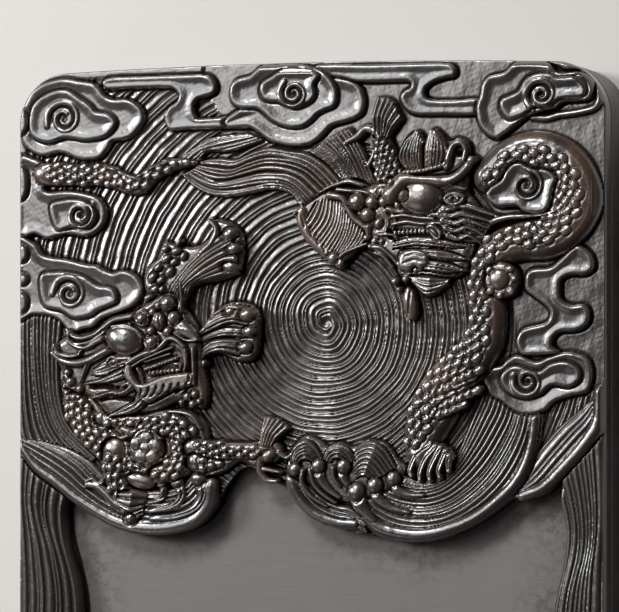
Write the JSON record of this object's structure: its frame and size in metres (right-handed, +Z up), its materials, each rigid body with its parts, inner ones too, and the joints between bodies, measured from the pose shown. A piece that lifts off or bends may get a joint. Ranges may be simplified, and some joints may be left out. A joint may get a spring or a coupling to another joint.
{
  "type": "inkstone",
  "caption": "Rectangular stone slab for grinding ink: a flat honed hall, a dished swirling ink pool, and a relief border of clouds, waves and dragons.",
  "frame": {"origin": "centre of the underside, on the surface that the stone rests on", "axes": "+X to the right, +Y along the stone towards the carved cloud end, +Z up"},
  "size_m": [0.17, 0.255, 0.038],
  "materials": {
    "carved_stone": "oil polished dark carved stone",
    "dragon_stone": "oil polished dark stone with brown in the cuts",
    "honed_stone": "matte honed grey stone with fine rubbing marks",
    "side_stone": "smooth dark stone"
  },
  "bodies": {
    "root": {"stone_slab": "side_stone", "grinding_hall": "honed_stone", "border_left": "carved_stone", "border_right": "carved_stone", "border_foot": "carved_stone", "picture_ground": "carved_stone", "ink_pool": "carved_stone", "cloud_top_left": "carved_stone", "cloud_bar_left": "carved_stone", "cloud_top_centre": "carved_stone", "cloud_bar_right": "carved_stone", "cloud_top_right": "carved_stone", "cloud_in_coil": "carved_stone", "cloud_right_ribbon": "carved_stone", "cloud_right_lower": "carved_stone", "cloud_left_upper": "carved_stone", "cloud_left_lower": "carved_stone", "left_dragon_head": "dragon_stone", "left_dragon_coil": "dragon_stone", "left_dragon_upper_claw": "dragon_stone", "left_dragon_middle_claw": "dragon_stone", "left_dragon_lower_claw": "dragon_stone", "left_dragon_hind_leg": "dragon_stone", "left_dragon_tail": "dragon_stone", "tail_plume": "dragon_stone", "right_dragon_head": "dragon_stone", "right_dragon_crest": "dragon_stone", "right_dragon_mane": "dragon_stone", "right_dragon_forearm": "dragon_stone", "right_dragon_coil": "dragon_stone", "right_dragon_hind_claw": "dragon_stone", "wave_bowl_left": "carved_stone", "wave_bowl_right": "carved_stone", "wave_outer_right": "carved_stone", "wave_crests": "carved_stone", "water_curtain": "carved_stone"}
  },
  "joints": []
}
